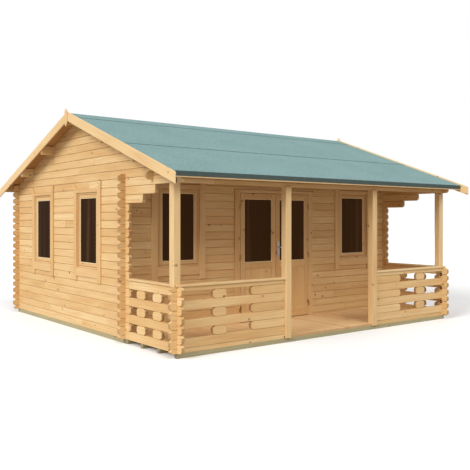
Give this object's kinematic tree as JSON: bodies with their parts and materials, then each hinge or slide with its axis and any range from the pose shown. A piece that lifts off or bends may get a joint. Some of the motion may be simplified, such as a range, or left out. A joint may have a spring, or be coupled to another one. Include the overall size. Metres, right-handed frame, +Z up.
{
  "type": "log cabin with veranda",
  "caption": "Log cabin with interlocking log walls, a felted gable roof that runs on over a railed front veranda, half-glazed double doors and tall windows.",
  "frame": {"origin": "on the ground under the middle of the ridge, which is the middle of the roof's plan", "axes": "+X along the front wall to the right, seen from the front; +Y from the veranda to the back wall; +Z up"},
  "size_m": [5.81, 5.952, 3.3119],
  "materials": {
    "spruce_logs": "planed, untreated",
    "planed_timber": "planed, untreated",
    "planed_joinery": "planed, untreated",
    "treated_timber": "sawn, pressure treated",
    "floor_boards": "planed, untreated",
    "roof_boards": "planed, untreated",
    "roofing_felt": "mineral surfaced bitumen felt",
    "glazing": "clear",
    "steel_fittings": "satin"
  },
  "bodies": {
    "cabin": {"cabin_bearers": "treated_timber", "veranda_bearers": "treated_timber", "cabin_floor": "floor_boards", "veranda_floor": "floor_boards", "front_wall_left": "spruce_logs", "front_wall_right": "spruce_logs", "front_wall_upper": "spruce_logs", "back_wall": "spruce_logs", "left_wall": "spruce_logs", "right_wall": "spruce_logs", "left_gable": "spruce_logs", "right_gable": "spruce_logs", "left_railing": "spruce_logs", "right_railing": "spruce_logs", "front_railing_left": "spruce_logs", "front_railing_right": "spruce_logs", "handrails": "planed_timber", "corner_posts": "planed_timber", "inner_posts": "planed_timber", "front_beam": "spruce_logs", "veranda_tie_log": "spruce_logs", "ridge_purlin": "planed_timber", "side_purlins": "planed_timber", "roof_deck_front": "roof_boards", "roof_deck_back": "roof_boards", "felt_front": "roofing_felt", "felt_back": "roofing_felt", "ridge_felt": "roofing_felt", "eave_boards": "planed_timber", "left_bargeboards": "planed_timber", "right_bargeboards": "planed_timber", "finials": "planed_timber", "front_window_frames": "planed_joinery", "side_window_frames": "planed_joinery", "window_glass": "glazing", "front_window_trim": "planed_joinery", "side_window_trim": "planed_joinery", "door_frame": "planed_joinery", "door_trim": "planed_joinery", "fixed_hinges": "steel_fittings"},
    "left_leaf": {"left_door_leaf": "planed_joinery", "left_door_glass": "glazing", "left_hinges": "steel_fittings"},
    "right_leaf": {"right_door_leaf": "planed_joinery", "right_door_glass": "glazing", "right_hinges": "steel_fittings", "door_handle": "steel_fittings"}
  },
  "joints": [
    {"name": "left_leaf_hinge", "type": "hinge", "parent": "cabin", "child": "left_leaf", "pos_m": [-0.7105, -1.4055, 1], "axis": [0, 0, -1], "range_deg": [0, 110]},
    {"name": "right_leaf_hinge", "type": "hinge", "parent": "cabin", "child": "right_leaf", "pos_m": [0.7105, -1.4055, 1], "axis": [0, 0, 1], "range_deg": [0, 110]}
  ]
}
